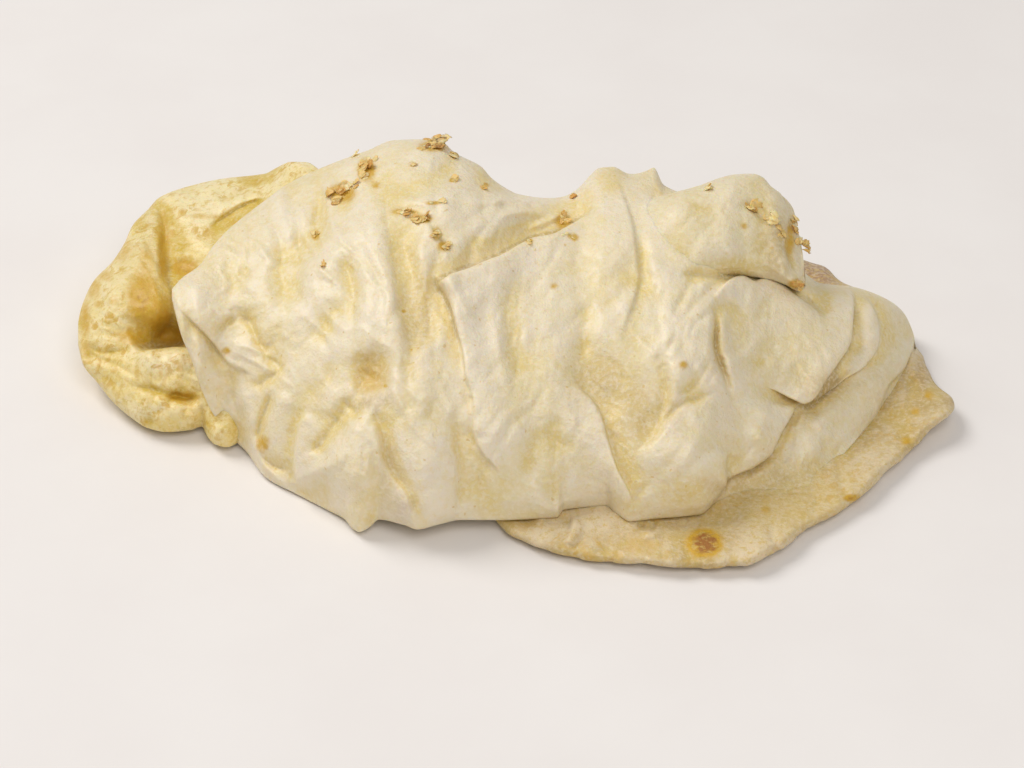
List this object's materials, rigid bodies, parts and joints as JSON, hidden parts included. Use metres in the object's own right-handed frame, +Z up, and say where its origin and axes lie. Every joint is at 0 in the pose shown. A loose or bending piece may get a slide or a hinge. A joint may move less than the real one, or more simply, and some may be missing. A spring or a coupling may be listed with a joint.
{
  "type": "folded paratha flatbread",
  "caption": "Soft flatbread gathered into a long pleated heap with a rolled loop at its left end, and with its flat lowest layer showing at the front right.",
  "frame": {"origin": "middle of the bounding box, on the flat underside", "axes": "+X to the right along the heap as it is seen from the front, +Y towards the back, +Z up"},
  "size_m": [0.2412, 0.161, 0.0582],
  "materials": {
    "bread": "soft pale cream crust with a faint oily sheen, yellower in the folds and on the loop, a few golden brown spots and dry flakes"
  },
  "bodies": {
    "root": {"paratha": "bread"}
  },
  "joints": []
}
